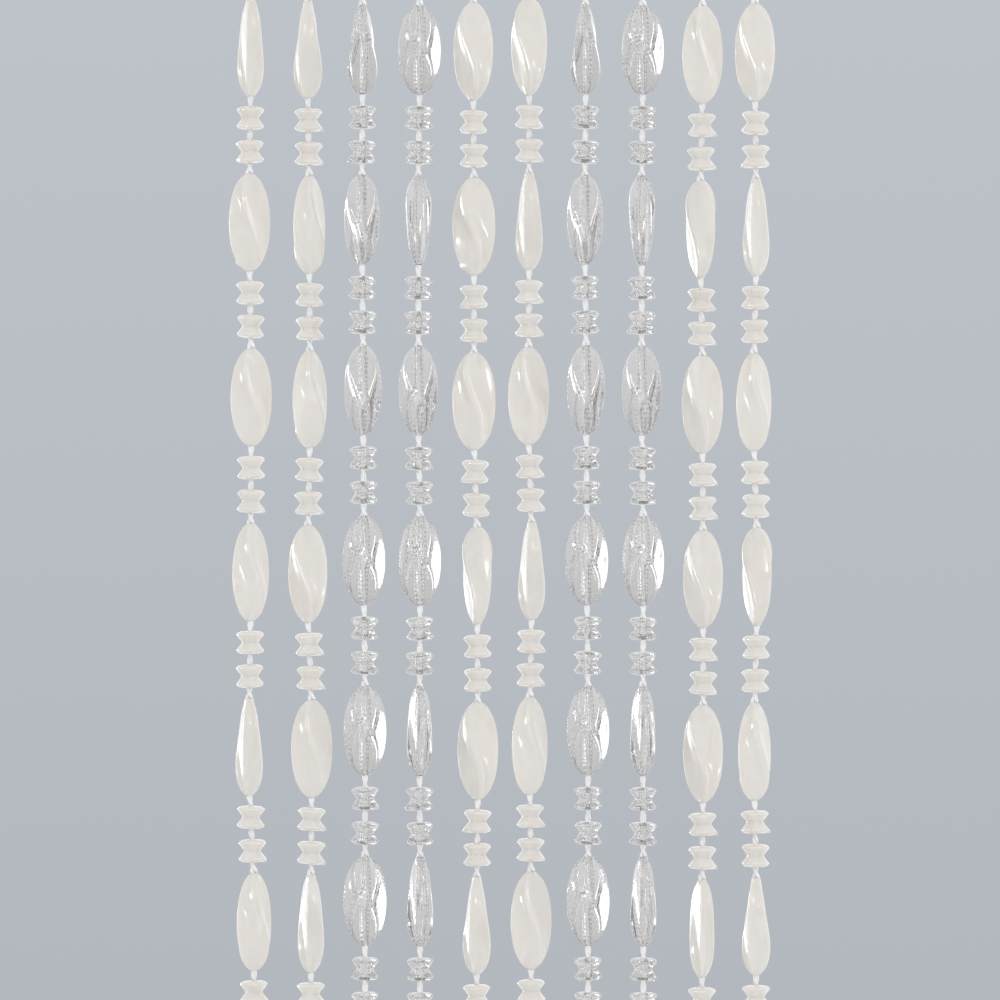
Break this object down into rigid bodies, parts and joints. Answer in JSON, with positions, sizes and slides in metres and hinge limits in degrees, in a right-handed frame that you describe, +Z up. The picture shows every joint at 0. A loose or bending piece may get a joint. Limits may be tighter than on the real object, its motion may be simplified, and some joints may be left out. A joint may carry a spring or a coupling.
{
  "type": "bead curtain",
  "caption": "Cut length of a hanging bead curtain: twisted oval beads and paired spool beads strung on soft cords below a folded heading tape.",
  "frame": {"origin": "middle of the heading's top edge, from which the curtain hangs", "axes": "+Z up, the front faces -Y, +X to the right seen from the front"},
  "size_m": [0.196, 0.0144, 0.4127],
  "materials": {
    "heading_tape": "matt woven tape",
    "pearl_bead": "glossy pearl, faintly swirled",
    "clear_bead": "clear polished acrylic",
    "bead_cord": "soft twisted cord"
  },
  "bodies": {
    "root": {"heading": "heading_tape", "strand_comb": "pearl_bead"}
  },
  "joints": []
}
